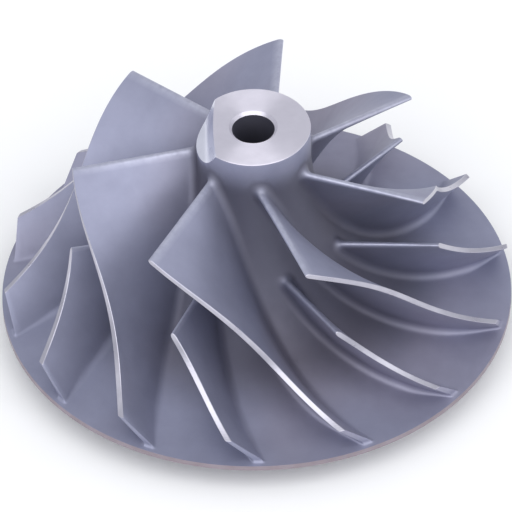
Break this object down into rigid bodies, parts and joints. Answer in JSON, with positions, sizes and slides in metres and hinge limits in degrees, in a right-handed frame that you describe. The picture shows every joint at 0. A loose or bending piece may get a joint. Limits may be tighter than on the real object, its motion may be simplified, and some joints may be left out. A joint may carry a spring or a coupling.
{
  "type": "compressor wheel",
  "caption": "Turbocharger compressor wheel: one aluminium casting with backswept full and splitter blades on a curved hub, a through bore and a thin back disc.",
  "frame": {"origin": "centre of the bore in the back boss's face, the plane the wheel rests on", "axes": "+Z along the wheel's axis from the back boss to the nose; the balance cut on the nose faces -X; seen from the nose (+Z) the wheel turns clockwise"},
  "size_m": [0.0762, 0.0762, 0.038],
  "materials": {
    "cast_aluminium": "satin, fine blasted casting with machined nose, bore and blade tips"
  },
  "bodies": {
    "root": {"compressor_wheel": "cast_aluminium"}
  },
  "joints": []
}
